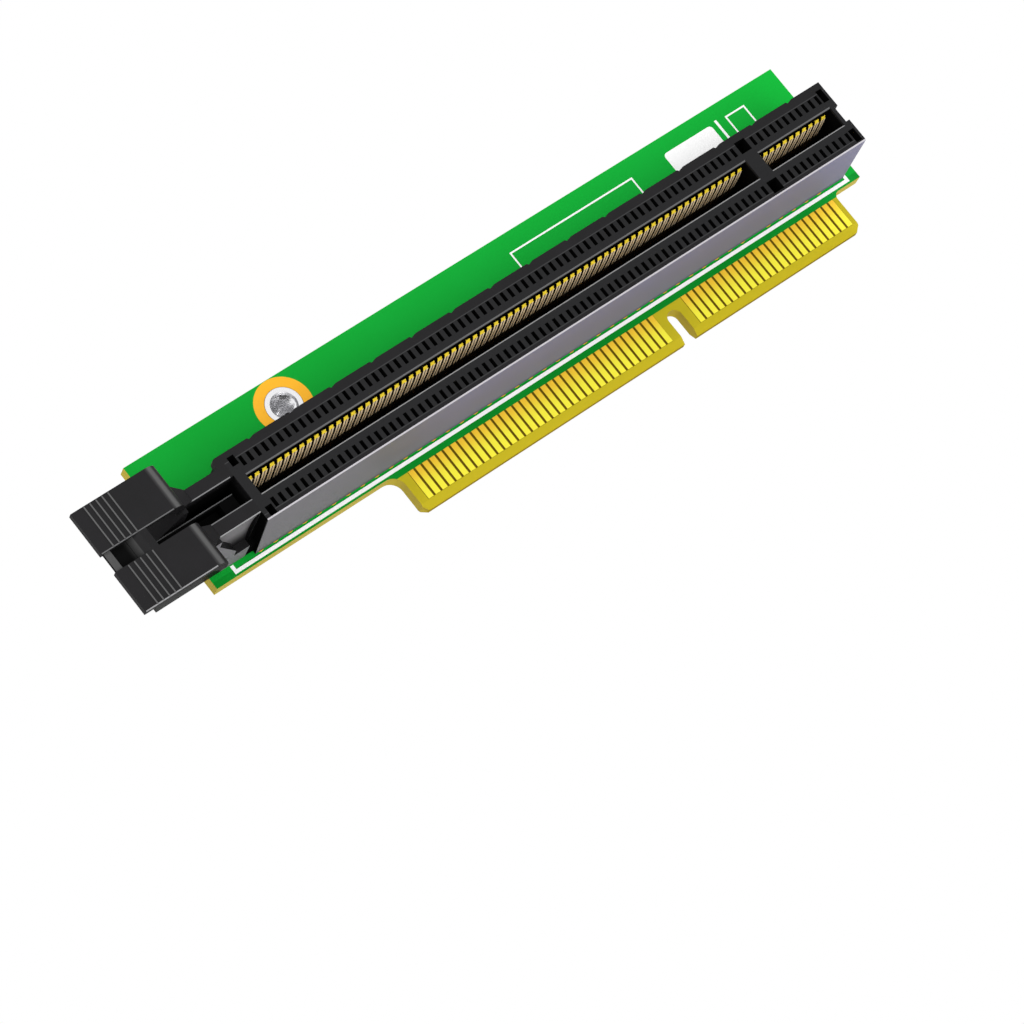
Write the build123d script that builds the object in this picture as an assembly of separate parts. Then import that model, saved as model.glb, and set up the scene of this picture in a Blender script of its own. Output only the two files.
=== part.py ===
from build123d import *
import os

# Riser card: a narrow board with a card edge below and an expansion slot on its face.
# x runs along the card edge, y through the board, z up, all in millimetres.
# The origin is the centre of the key notch, halfway through the board, at the lower edge.
# The slot faces -y, its latch is at the -x end, and the standoff is on the +y side.

# Board
BOARD_T = 1.6
BOARD_LENGTH = 94.4
BOARD_HEIGHT = 16.45
BOARD_LEFT = -63.65
TONGUE_DEPTH = 5.2
TONGUE_CORNER = 0.6
TONGUE_MARGIN_LEFT = 1.1
TONGUE_MARGIN_RIGHT = 0.65
INNER_RADIUS_LEFT = 1.6
INNER_RADIUS_RIGHT = 0.8
NOTCH_W = 1.9
NOTCH_DEPTH = 4.0
BEVEL_HEIGHT = 0.9
BEVEL_DEPTH = 0.45

# Card edge fingers
FINGER_PITCH = 1.0
FINGER_W = 0.7
FINGER_LOW = 1.0
FINGER_HIGH = 4.7
FIRST_FINGER = 2.5
LEFT_FINGER_COUNT = 36
RIGHT_FINGER_COUNT = 24
COPPER_T = 0.05

# Slot contacts, numbered from the +x end, with the key between the two groups
SLOT_LINE = 10.05
FIRST_CONTACT_X = 26.0
CONTACT_PITCH = 1.0
KEY_PITCH = 3.0
SHORT_COUNT = 11
LONG_COUNT = 71
INNER_ROW = 1.25
OUTER_ROW = 3.25
CONTACT_W = 0.5
CONTACT_T = 0.2
CONTACT_POINT_OFFSET = 0.68
CONTACT_POINT_HEIGHT = 4.0
CONTACT_TIP_OFFSET = 0.95
CONTACT_TIP_DROP = 0.45
SOLDER_RADIUS = 0.68
SOLDER_HEIGHT = 0.75
SOLDER_SIDES = 5

# Slot housing, by height above the board's face and offset from the slot's centreline
HOUSING_H = 10.44
WALL_LOWER = 4.05
WALL_UPPER = 4.52
WALL_DRAFT = 0.15
EDGE_CHAMFER = 0.15
MOUTH_HALF = 1.25
MOUTH_END = 0.65
KEY_CLEARANCE = 0.55
SPINE_HALF = 0.35
SPINE_H = 2.6
CAVITY_FLOOR = 1.0
CAVITY_FLARE_H = 5.2
CAVITY_CLEARANCE = 0.07
WINDOW_W = 0.45
WINDOW_DEPTH = 3.0
WINDOW = (2.18, 3.33)
KEY_POCKET_W = 1.5
KEY_POCKET = (2.1, 3.65)
END_POCKET_W = 0.85
END_POCKET_REACH = 0.87
RIGHT_POCKET = (2.1, 3.75)
LEFT_POCKET = (2.7, 3.85)
RIGHT_WALL = 0.97
RIGHT_WALL_SLOPE = 1.15
EAR_NOTCH_DEPTH = 0.5
EAR_NOTCH = 1.05
LEFT_WALL = 1.2
LEFT_WALL_LEAN = 1.1
SHOULDER_REACH = 1.1
SHOULDER_T = 0.8
SHOULDER_RADIUS = 0.6
GROOVE_FIRST = 4.95
GROOVE_PITCH = 5.54
GROOVE_DEPTH = 0.2
GROOVE_STEP = 0.2
GROOVE_RAMP = 0.7

# Arms and fork that carry the latch
ARM_LENGTH = 6.45
ARM_UPPER = (1.9, 3.38)
ARM_LOWER = (-2.92, -1.25)
SCOOP_MIDDLE = (-2.4, 6.6)
SCOOP_FOOT = -2.6
LEDGE_OFFSET = -3.45
LEDGE_H = 2.7
GUSSET_RUN = 4.3
GUSSET_FOOT_H = 4.0
CHANNEL_FLOOR = 1.2
FORK_HALF = 3.45
FORK_LENGTH = 5.8
FORK_TOE = 0.4
FORK_TOE_H = 1.0
FORK_TIP_H = 4.3
FORK_TOP_RUN = 0.6
CHEEK_OVERLAP = 0.9
CHEEK_INNER = 1.15

# Locating pegs and their plated slots
PEG_X_KEY = 14.4
PEG_SLOT_W = 1.25
PEG_SLOT_LENGTH = 3.25
LINING_T = 0.17
PEG_CLEARANCE = 0.03
PEG_CORNER = 0.28
PEG_SHORTFALL = 0.3

# Latch
PIVOT_BEHIND_ARM = 2.7
PIVOT_H = 2.6
PIN_RADIUS = 0.9
PIN_CLEARANCE = 0.05
PIN_REACH = 1.8
BLADE = (-1.0, 0.9)
BLADE_TOP = 8.3
BLADE_LOW = 4.6
BLADE_FRONT_GAP = 0.5
BLADE_CORNER = 0.6
CATCH_LENGTH = 1.9
CATCH_GAP = 3.4
CATCH_DEPTH = 1.7
STEM_START = 2.4
HEEL = [(-4.2, 7.3), (-2.9, 2.6), (-2.3, 0.3), (1.8, 0.3), (2.2, 2.6), (3.2, 4.6)]
PAD_TOP = 14.0
PAD_T = 0.75
PAD_LENGTH = 11.0
PAD_LIP_H = 11.7
PAD_RADIUS = 1.7
PAD_UPPER = (1.3, 6.55)
PAD_LOWER = (-6.15, -1.0)
PAD_START = 0.9
BRIDGE_INSET = 5.4
BRIDGE_W = 0.9
POCKET_RUN = 1.5
RIM_W = 0.8
RIM_INSET = 0.3
RIM_DROP = 0.3
RIDGE_W = 0.16
RIDGE_H = 0.12
RIDGE_PITCH = 0.76
RIDGE_COUNT = 5
RIDGE_START = 1.5
RIDGE_INSET = 0.1
NECK_CLEARANCE = 0.15
NECK_UPPER_REACH = 4.5
NECK_LOWER_REACH = -3.76
NECK_RUN = 1.0
NECK_T = 0.6
NECK_OVERLAP = 0.1

# Standoff and its pads
STANDOFF_X = -44.45
STANDOFF_Z = 18.2
STANDOFF_RADIUS = 3.3
STANDOFF_H = 6.0
STANDOFF_CHAMFER = 0.3
COLLAR_RADIUS = 2.15
COLLAR_CLEARANCE = 0.05
THREAD_RADIUS = 1.25
THREAD_CHAMFER = 0.35
PAD_RING_RADIUS = 3.4

# Printed outline round the housing
PRINT_W = 0.42
PRINT_T = 0.03
PRINT_GAP = 0.12
PRINT_LOWER = -4.6
PRINT_LEFT_RUN = 2.1

# Places that follow from the sizes above
FACE = BOARD_T / 2
TONGUE_LEFT = -(FIRST_FINGER + (LEFT_FINGER_COUNT - 1) * FINGER_PITCH + FINGER_W / 2 + TONGUE_MARGIN_LEFT)
TONGUE_RIGHT = FIRST_FINGER + (RIGHT_FINGER_COUNT - 1) * FINGER_PITCH + FINGER_W / 2 + TONGUE_MARGIN_RIGHT
SHORT_XS = [FIRST_CONTACT_X - i * CONTACT_PITCH for i in range(SHORT_COUNT)]
LONG_FIRST_X = SHORT_XS[-1] - KEY_PITCH
LONG_XS = [LONG_FIRST_X - i * CONTACT_PITCH for i in range(LONG_COUNT)]
SHORT_MOUTH = (SHORT_XS[-1] - KEY_CLEARANCE, SHORT_XS[0] + MOUTH_END)
LONG_MOUTH = (LONG_XS[-1] - MOUTH_END, LONG_XS[0] + KEY_CLEARANCE)
HOUSING_RIGHT = SHORT_MOUTH[1] + RIGHT_WALL
HOUSING_LEFT = LONG_MOUTH[0] - LEFT_WALL
BASE_RIGHT = HOUSING_RIGHT + RIGHT_WALL_SLOPE
ARM_END = HOUSING_LEFT - ARM_LENGTH
FORK_END = ARM_END - FORK_LENGTH
PEG_XS = {"key": PEG_X_KEY, "latch": HOUSING_LEFT}
PIVOT_X = ARM_END - PIVOT_BEHIND_ARM
CAVITY_FOOT = OUTER_ROW + CONTACT_T / 2 + CAVITY_CLEARANCE
PAD_RIGHT = ARM_END - PAD_START
PAD_LEFT = PAD_RIGHT - PAD_LENGTH
BRIDGE_RIGHT = PAD_RIGHT - BRIDGE_INSET
BRIDGE_LEFT = BRIDGE_RIGHT - BRIDGE_W


def front(height):
    """The y of a plane at a height above the board's slot face."""
    return -FACE - height


def level(offset):
    """The z at an offset from the slot's centreline."""
    return SLOT_LINE + offset


def slot_bar(section, start, end):
    """A bar along x between two places, from a section of (offset, height) points."""
    points = [(front(height), level(offset)) for offset, height in section]
    face = Plane.YZ.offset(start) * make_face(Polyline(*points, close=True))
    return extrude(face, end - start, dir=(1, 0, 0))


def slot_plate(outline, low, high):
    """A plate between two offsets, from an outline of (x, height) points."""
    points = [(x, front(height)) for x, height in outline]
    face = Pos(0, 0, level(low)) * make_face(Polyline(*points, close=True))
    return extrude(face, high - low, dir=(0, 0, 1))


def slot_column(outline, low, high):
    """A column between two heights above the board, from an outline of (x, offset) points."""
    points = [(x, level(offset)) for x, offset in outline]
    face = Plane.XZ.offset(FACE + low) * make_face(Polyline(*points, close=True))
    return extrude(face, high - low, dir=(0, -1, 0))


def slot_block(xs, offsets, heights):
    """A block from its ranges of x, offset and height."""
    outline = [(xs[0], offsets[0]), (xs[1], offsets[0]), (xs[1], offsets[1]), (xs[0], offsets[1])]
    return slot_column(outline, *heights)


def oblong(x, width, length, start, end):
    """An upright round-ended column through y, from start to end, on the slot's centreline."""
    face = Plane.XZ.offset(-start) * Pos(x, SLOT_LINE) * SlotOverall(length, width, rotation=90)
    return extrude(face, end - start, dir=(0, 1, 0))


def rod(x, z, radius, start, end):
    """A round column through y, from start to end."""
    face = Plane.XZ.offset(-start) * Pos(x, z) * Circle(radius)
    return extrude(face, end - start, dir=(0, 1, 0))


def board_outline():
    """The board and its tongue as one flat outline, with the notch and the rounded corners."""
    width = TONGUE_RIGHT - TONGUE_LEFT
    body = Pos(BOARD_LEFT + BOARD_LENGTH / 2, TONGUE_DEPTH + BOARD_HEIGHT / 2) * Rectangle(
        BOARD_LENGTH, BOARD_HEIGHT
    )
    tongue = Pos((TONGUE_LEFT + TONGUE_RIGHT) / 2, TONGUE_DEPTH / 2) * Rectangle(width, TONGUE_DEPTH)
    tongue = chamfer(tongue.vertices().group_by(Axis.Y)[0], TONGUE_CORNER)
    outline = body + tongue
    inner = outline.vertices().filter_by_position(Axis.Y, TONGUE_DEPTH - 0.01, TONGUE_DEPTH + 0.01)
    inner = inner.filter_by_position(Axis.X, TONGUE_LEFT - 0.01, TONGUE_RIGHT + 0.01).sort_by(Axis.X)
    outline = fillet(inner[0], INNER_RADIUS_LEFT)
    inner = outline.vertices().filter_by_position(Axis.Y, TONGUE_DEPTH - 0.01, TONGUE_DEPTH + 0.01)
    inner = inner.filter_by_position(Axis.X, TONGUE_RIGHT - 0.01, TONGUE_RIGHT + 0.01)
    outline = fillet(inner, INNER_RADIUS_RIGHT)
    notch = Rectangle(NOTCH_W, 2 * (NOTCH_DEPTH - NOTCH_W / 2))
    notch += Pos(0, NOTCH_DEPTH - NOTCH_W / 2) * Circle(NOTCH_W / 2)
    return outline - notch


def circuit_board():
    """The bare board, with its bevelled edge, peg slots and standoff hole."""
    board = extrude(Plane.XZ.offset(-FACE) * board_outline(), BOARD_T, dir=(0, -1, 0))
    for side in (-1, 1):
        bevel = Polyline(
            (side * FACE, BEVEL_HEIGHT),
            (side * (FACE - BEVEL_DEPTH), 0),
            (side * FACE, 0),
            close=True,
        )
        wedge = Plane.YZ.offset(TONGUE_LEFT) * make_face(bevel)
        board -= extrude(wedge, TONGUE_RIGHT - TONGUE_LEFT, dir=(1, 0, 0))
    for x in PEG_XS.values():
        board -= oblong(x, PEG_SLOT_W, PEG_SLOT_LENGTH, -FACE, FACE)
    hole = COLLAR_RADIUS + COLLAR_CLEARANCE
    return board - rod(STANDOFF_X, STANDOFF_Z, hole, -FACE, FACE)


def edge_fingers(side, sign, count):
    """The gold fingers of one block: side is -1 in front and 1 behind, sign -1 left, 1 right."""
    finger = Box(FINGER_W, COPPER_T, FINGER_HIGH - FINGER_LOW)
    y = side * (FACE + COPPER_T / 2)
    z = (FINGER_LOW + FINGER_HIGH) / 2
    xs = [sign * (FIRST_FINGER + i * FINGER_PITCH) for i in range(count)]
    return [Pos(x, y, z) * finger for x in xs]


def row_offset(number):
    """How far the tail of a contact stands from the centreline: odd ones are in the inner row."""
    return INNER_ROW if number % 2 else OUTER_ROW


def slot_contacts(xs, first_number, side):
    """Spring contacts of one group, above the centreline for side 1 and below it for -1."""
    contacts = []
    for number, x in enumerate(xs, first_number):
        foot = row_offset(number)
        section = [
            (side * foot, CAVITY_FLOOR),
            (side * (CONTACT_POINT_OFFSET + CONTACT_T), CONTACT_POINT_HEIGHT),
            (side * CONTACT_TIP_OFFSET, HOUSING_H - CONTACT_TIP_DROP),
            (side * CONTACT_POINT_OFFSET, CONTACT_POINT_HEIGHT),
        ]
        contacts.append(slot_bar(section, x - CONTACT_W / 2, x + CONTACT_W / 2))
    return contacts


def solder_row(offset):
    """The solder cones of one row of tails, on the back of the board."""
    base = Plane.XZ.offset(-FACE) * RegularPolygon(SOLDER_RADIUS, SOLDER_SIDES)
    cone = loft([base.face(), Vertex(0, FACE + SOLDER_HEIGHT, 0)], ruled=True)
    numbered = enumerate(SHORT_XS + LONG_XS, 1)
    xs = [x for number, x in numbered if row_offset(number) == abs(offset)]
    return [Pos(x, 0, level(offset)) * cone for x in xs]


def housing_body():
    """The long body with its slightly drafted lower wall and its sloped, eared end."""
    section = [
        (WALL_DRAFT - WALL_LOWER, 0),
        (WALL_UPPER, 0),
        (WALL_UPPER, HOUSING_H),
        (EDGE_CHAMFER - WALL_LOWER, HOUSING_H),
        (-WALL_LOWER, HOUSING_H - EDGE_CHAMFER),
    ]
    body = slot_bar(section, HOUSING_LEFT, BASE_RIGHT)
    slope = [(HOUSING_RIGHT, HOUSING_H), (BASE_RIGHT, 0), (BASE_RIGHT, HOUSING_H)]
    body -= slot_plate(slope, -WALL_LOWER, WALL_UPPER)
    ears = [(x - EAR_NOTCH_DEPTH, height) for x, height in slope[:2]]
    body -= slot_plate(ears + [(BASE_RIGHT, 0), (BASE_RIGHT, HOUSING_H)], -EAR_NOTCH, EAR_NOTCH)
    lean = [(HOUSING_LEFT, HOUSING_H), (HOUSING_LEFT + LEFT_WALL_LEAN, 0), (HOUSING_LEFT, 0)]
    return body - slot_plate(lean, -WALL_LOWER, ARM_LOWER[0])


def mouth_cut(ends):
    """The card mouth of one group: chamfered lips, straight walls and a flared foot."""
    half = [
        (MOUTH_HALF + EDGE_CHAMFER, HOUSING_H),
        (MOUTH_HALF, HOUSING_H - EDGE_CHAMFER),
        (MOUTH_HALF, CAVITY_FLARE_H),
        (CAVITY_FOOT, CAVITY_FLOOR),
        (SPINE_HALF, CAVITY_FLOOR),
        (SPINE_HALF, SPINE_H),
    ]
    other = [(-offset, height) for offset, height in reversed(half)]
    return slot_bar(half + other, *ends)


def window_cuts():
    """Every window over a contact, tapering to an edge at its foot."""
    cuts = []
    for side in (-1, 1):
        near, far = (side * offset for offset in WINDOW)
        section = [(near, HOUSING_H), (far, HOUSING_H), ((near + far) / 2, HOUSING_H - WINDOW_DEPTH)]
        cuts += [slot_bar(section, x - WINDOW_W / 2, x + WINDOW_W / 2) for x in SHORT_XS + LONG_XS]
    return cuts


def pocket_cuts():
    """The wider pockets in both walls, at the two ends and beside the key."""
    key_x = (SHORT_MOUTH[0] + LONG_MOUTH[1]) / 2
    pockets = [
        (key_x, KEY_POCKET_W, KEY_POCKET),
        (LONG_XS[-1] - END_POCKET_REACH, END_POCKET_W, LEFT_POCKET),
        (SHORT_XS[0] + END_POCKET_REACH, END_POCKET_W, RIGHT_POCKET),
    ]
    cuts = []
    for x, width, (near, far) in pockets:
        xs, heights = (x - width / 2, x + width / 2), (HOUSING_H - WINDOW_DEPTH, HOUSING_H)
        cuts += [slot_block(xs, (near, far), heights), slot_block(xs, (-far, -near), heights)]
    return cuts


def groove_cuts():
    """Upright saw-tooth grooves along the upper wall."""
    first = HOUSING_RIGHT - GROOVE_FIRST
    count = int((first - HOUSING_LEFT - GROOVE_STEP) / GROOVE_PITCH) + 1
    cuts = []
    for i in range(count):
        x = first - i * GROOVE_PITCH
        outline = [
            (x - GROOVE_STEP, WALL_UPPER),
            (x, WALL_UPPER - GROOVE_DEPTH),
            (x + GROOVE_RAMP, WALL_UPPER),
        ]
        cuts.append(slot_column(outline, 0, HOUSING_H))
    return cuts


def lower_arm():
    """The arm on the card edge's side, scooped out under its top rail, with a ledge below."""
    rail = (front(HOUSING_H), level(ARM_LOWER[0]))
    middle = (front(SCOOP_MIDDLE[1]), level(SCOOP_MIDDLE[0]))
    foot = (front(LEDGE_H), level(SCOOP_FOOT))
    scoop = ThreePointArc(rail, middle, foot)
    rest = Polyline(
        foot,
        (front(LEDGE_H), level(LEDGE_OFFSET)),
        (front(0), level(LEDGE_OFFSET)),
        (front(0), level(ARM_LOWER[1])),
        (front(HOUSING_H), level(ARM_LOWER[1])),
        rail,
    )
    face = Plane.YZ.offset(ARM_END) * make_face([scoop, rest])
    arm = extrude(face, ARM_LENGTH + LEFT_WALL_LEAN, dir=(1, 0, 0))
    gusset = [
        (ARM_END, LEDGE_H),
        (ARM_END + GUSSET_RUN, LEDGE_H),
        (ARM_END + GUSSET_RUN, GUSSET_FOOT_H),
        (ARM_END, HOUSING_H),
    ]
    return arm + slot_plate(gusset, LEDGE_OFFSET, (ARM_LOWER[0] + ARM_LOWER[1]) / 2)


def fork():
    """The two cheeks that carry the latch's pins, as one block still without its slot."""
    profile = [
        (ARM_END + CHEEK_OVERLAP, 0),
        (FORK_END + FORK_TOE, 0),
        (FORK_END, FORK_TOE_H),
        (FORK_END, FORK_TIP_H),
        (ARM_END - FORK_TOP_RUN, HOUSING_H),
        (ARM_END + CHEEK_OVERLAP, HOUSING_H),
    ]
    return slot_plate(profile, -FORK_HALF, FORK_HALF)


def latch_end():
    """Shoulder, arms, channel floor and fork at the latch end, with the channel cut through."""
    shoulder = slot_block(
        (HOUSING_LEFT - SHOULDER_REACH, HOUSING_LEFT),
        (ARM_UPPER[0], WALL_UPPER),
        (HOUSING_H - SHOULDER_T, HOUSING_H),
    )
    corner = shoulder.edges().filter_by(Axis.Y).sort_by(Axis.X)[:2].sort_by(Axis.Z)[-1]
    end = fillet(corner, SHOULDER_RADIUS)
    end += slot_block((ARM_END, HOUSING_LEFT), ARM_UPPER, (0, HOUSING_H))
    end += lower_arm() + fork()
    end += slot_block((ARM_END, HOUSING_LEFT), (ARM_LOWER[1], ARM_UPPER[0]), (0, CHANNEL_FLOOR))
    end -= slot_block((ARM_END, HOUSING_LEFT), (ARM_LOWER[1], ARM_UPPER[0]), (CHANNEL_FLOOR, HOUSING_H))
    end -= slot_block((FORK_END, ARM_END), (ARM_LOWER[1], CHEEK_INNER), (0, HOUSING_H))
    return end - latch_pins(PIN_CLEARANCE)


def locating_peg(x):
    """A peg down through the board, with cut corners that clear the lined slot's round ends."""
    width = PEG_SLOT_W - 2 * (LINING_T + PEG_CLEARANCE)
    length = PEG_SLOT_LENGTH - 2 * (LINING_T + PEG_CLEARANCE)
    face = Rectangle(width, length)
    face = chamfer(face.vertices(), PEG_CORNER)
    face = Plane.XZ.offset(FACE) * Pos(x, SLOT_LINE) * face
    return extrude(face, BOARD_T - PEG_SHORTFALL, dir=(0, 1, 0))


def slot_housing():
    """The moulded slot housing, one piece, with its two pegs that go into the board."""
    housing = housing_body() - [mouth_cut(SHORT_MOUTH), mouth_cut(LONG_MOUTH)]
    housing -= window_cuts() + groove_cuts()
    housing += latch_end()
    housing -= pocket_cuts()
    return housing + [locating_peg(x) for x in PEG_XS.values()]


def latch_pins(clearance):
    """The latch's two pins as one rod across the fork, or its hole with a clearance."""
    face = Pos(PIVOT_X, front(PIVOT_H), level(ARM_LOWER[1] - PIN_REACH)) * Circle(PIN_RADIUS + clearance)
    reach = ARM_LOWER[1] - PIN_REACH
    length = CHEEK_INNER + PIN_REACH - reach
    return Pos(0, 0, -clearance) * extrude(face, length + 2 * clearance, dir=(0, 0, 1))


def latch_blade():
    """The middle plate of the latch: a catch in the channel, a heel at the pins and a stem."""
    front_x = HOUSING_LEFT - BLADE_FRONT_GAP
    notch_low = BLADE_TOP - CATCH_DEPTH
    catch_x = front_x - CATCH_LENGTH
    back_x = catch_x - CATCH_GAP
    outline = [
        (front_x, BLADE_LOW + BLADE_CORNER),
        (front_x, BLADE_TOP),
        (catch_x, BLADE_TOP),
        (catch_x, notch_low),
        (back_x, notch_low),
        (back_x, BLADE_TOP),
        (PIVOT_X - STEM_START, BLADE_TOP),
        (BRIDGE_RIGHT, PAD_TOP - PAD_T),
        (BRIDGE_LEFT - BLADE_CORNER, PAD_TOP - PAD_T),
        *((PIVOT_X + run, height) for run, height in HEEL),
        (front_x - BLADE_CORNER, BLADE_LOW),
    ]
    return slot_plate(outline, *BLADE)


def latch_pads():
    """The two finger pads as one bent plate, then cut apart, with grip ridges on top."""
    under = PAD_TOP - PAD_T
    plate = slot_plate(
        [
            (PAD_LEFT, PAD_TOP),
            (PAD_RIGHT, PAD_TOP),
            (PAD_RIGHT, PAD_LIP_H),
            (PAD_RIGHT - PAD_T, PAD_LIP_H),
            (PAD_RIGHT - PAD_RADIUS - PAD_T / 2, under),
            (PAD_LEFT, under),
        ],
        PAD_LOWER[0],
        PAD_UPPER[1],
    )
    shoulder = plate.edges().filter_by(Axis.Z).sort_by(Axis.X)[-2:].sort_by(Axis.Y)[0]
    plate = fillet(shoulder, PAD_RADIUS)
    gap = (PAD_LOWER[1], PAD_UPPER[0])
    rim_left = PAD_LEFT + RIM_INSET
    hole_left = rim_left + RIM_W
    plate -= slot_block((BRIDGE_RIGHT, PAD_RIGHT), gap, (0, PAD_TOP))
    pocket = [
        (BRIDGE_LEFT, PAD_TOP),
        (BRIDGE_LEFT - POCKET_RUN, under),
        (hole_left, under),
        (hole_left, PAD_TOP - RIM_DROP),
        (PAD_LEFT, PAD_TOP - RIM_DROP),
        (PAD_LEFT, PAD_TOP),
    ]
    plate -= slot_plate(pocket, *gap)
    plate -= slot_block((PAD_LEFT, rim_left), gap, (under, PAD_TOP))
    for i in range(RIDGE_COUNT):
        x = PAD_LEFT + RIDGE_START + i * RIDGE_PITCH
        for low, high in (PAD_LOWER, PAD_UPPER):
            offsets = (low + RIDGE_INSET, high - RIDGE_INSET)
            plate += slot_block((x, x + RIDGE_W), offsets, (PAD_TOP, PAD_TOP + RIDGE_H))
    return plate


def latch_neck(plan):
    """A sloped neck from a pad down to just above an arm, trimmed to its plan."""
    foot = HOUSING_H + NECK_CLEARANCE
    profile = [
        (PAD_RIGHT - PAD_T, PAD_LIP_H - NECK_T),
        (PAD_RIGHT - PAD_T, PAD_LIP_H + NECK_OVERLAP),
        (PAD_RIGHT, PAD_LIP_H + NECK_OVERLAP),
        (ARM_END + NECK_RUN, foot),
        (ARM_END - FORK_TOP_RUN, foot),
    ]
    low = min(offset for _, offset in plan)
    high = max(offset for _, offset in plan)
    return slot_plate(profile, low, high) & slot_column(plan, 0, PAD_TOP)


def retention_latch():
    """The moulded latch, one piece: blade, pins, pads and the two necks over the arms."""
    back = PAD_RIGHT - PAD_T
    tip = ARM_END + NECK_RUN
    latch = latch_blade() + latch_pins(0) + latch_pads()
    for start, reach, inner, outer in (
        (PAD_UPPER[0], NECK_UPPER_REACH, *ARM_UPPER),
        (PAD_LOWER[1], NECK_LOWER_REACH, ARM_LOWER[1], ARM_LOWER[0]),
    ):
        latch += latch_neck([(back, start), (back, reach), (PAD_RIGHT, reach), (tip, outer), (tip, inner)])
    return latch


def peg_slot_lining(x):
    """The plated wall of one peg slot."""
    inner_w = PEG_SLOT_W - 2 * LINING_T
    inner_length = PEG_SLOT_LENGTH - 2 * LINING_T
    outer = oblong(x, PEG_SLOT_W, PEG_SLOT_LENGTH, -FACE, FACE)
    return outer - oblong(x, inner_w, inner_length, -FACE, FACE)


def standoff_pad(side):
    """The plated ring on one face of the board, -1 in front and 1 behind."""
    start = side * FACE + min(side, 0) * COPPER_T
    hole = COLLAR_RADIUS + COLLAR_CLEARANCE
    ring = rod(STANDOFF_X, STANDOFF_Z, PAD_RING_RADIUS, start, start + COPPER_T)
    return ring - rod(STANDOFF_X, STANDOFF_Z, hole, start, start + COPPER_T)


def threaded_standoff():
    """The round standoff, its collar pressed through the board and its thread bored right through."""
    low, seat = -FACE - COPPER_T, FACE + COPPER_T
    high = seat + STANDOFF_H
    profile = Polyline(
        (THREAD_RADIUS + THREAD_CHAMFER, low),
        (COLLAR_RADIUS, low),
        (COLLAR_RADIUS, seat),
        (STANDOFF_RADIUS, seat),
        (STANDOFF_RADIUS, high - STANDOFF_CHAMFER),
        (STANDOFF_RADIUS - STANDOFF_CHAMFER, high),
        (THREAD_RADIUS + THREAD_CHAMFER, high),
        (THREAD_RADIUS, high - THREAD_CHAMFER),
        (THREAD_RADIUS, low + THREAD_CHAMFER),
        close=True,
    )
    return Pos(STANDOFF_X, 0, STANDOFF_Z) * revolve(make_face(profile), Axis.Y)


def printed_outline():
    """The printed line round the housing's foot, open from the arms to the standoff's ring."""
    left = HOUSING_LEFT - PRINT_LEFT_RUN
    right = BASE_RIGHT + PRINT_GAP + PRINT_W
    upper = WALL_UPPER + PRINT_GAP + PRINT_W
    outer = slot_block((left, right), (PRINT_LOWER, upper), (0, PRINT_T))
    inner = slot_block(
        (left + PRINT_W, right - PRINT_W), (PRINT_LOWER + PRINT_W, upper - PRINT_W), (0, PRINT_T)
    )
    ring_end = STANDOFF_X + PAD_RING_RADIUS + PRINT_GAP
    return outer - inner - slot_block((left, ring_end), (LEDGE_OFFSET - PRINT_GAP, upper), (0, PRINT_T))


def write(name, shape):
    """Writes one sub-part, as one solid or as a group of separate solids."""
    if isinstance(shape, list):
        shape = Compound(children=shape)
    export_step(shape, f"parts/{name}.step")


def main():
    os.makedirs("parts", exist_ok=True)
    write("circuit_board", circuit_board())
    write("front_fingers_long_block", edge_fingers(-1, -1, LEFT_FINGER_COUNT))
    write("front_fingers_short_block", edge_fingers(-1, 1, RIGHT_FINGER_COUNT))
    write("back_fingers_long_block", edge_fingers(1, -1, LEFT_FINGER_COUNT))
    write("back_fingers_short_block", edge_fingers(1, 1, RIGHT_FINGER_COUNT))
    write("slot_housing", slot_housing())
    write("upper_contacts_short_group", slot_contacts(SHORT_XS, 1, 1))
    write("lower_contacts_short_group", slot_contacts(SHORT_XS, 1, -1))
    write("upper_contacts_long_group", slot_contacts(LONG_XS, SHORT_COUNT + 1, 1))
    write("lower_contacts_long_group", slot_contacts(LONG_XS, SHORT_COUNT + 1, -1))
    write("solder_joints_upper_outer", solder_row(OUTER_ROW))
    write("solder_joints_upper_inner", solder_row(INNER_ROW))
    write("solder_joints_lower_inner", solder_row(-INNER_ROW))
    write("solder_joints_lower_outer", solder_row(-OUTER_ROW))
    write("retention_latch", retention_latch())
    for name, x in PEG_XS.items():
        write(f"{name}_peg_slot_lining", peg_slot_lining(x))
    write("standoff_pad_front", standoff_pad(-1))
    write("standoff_pad_back", standoff_pad(1))
    write("threaded_standoff", threaded_standoff())
    write("printed_outline", printed_outline())


main()
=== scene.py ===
import math
from functools import reduce

import bpy
import numpy as np
from mathutils import Matrix, Vector


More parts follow.
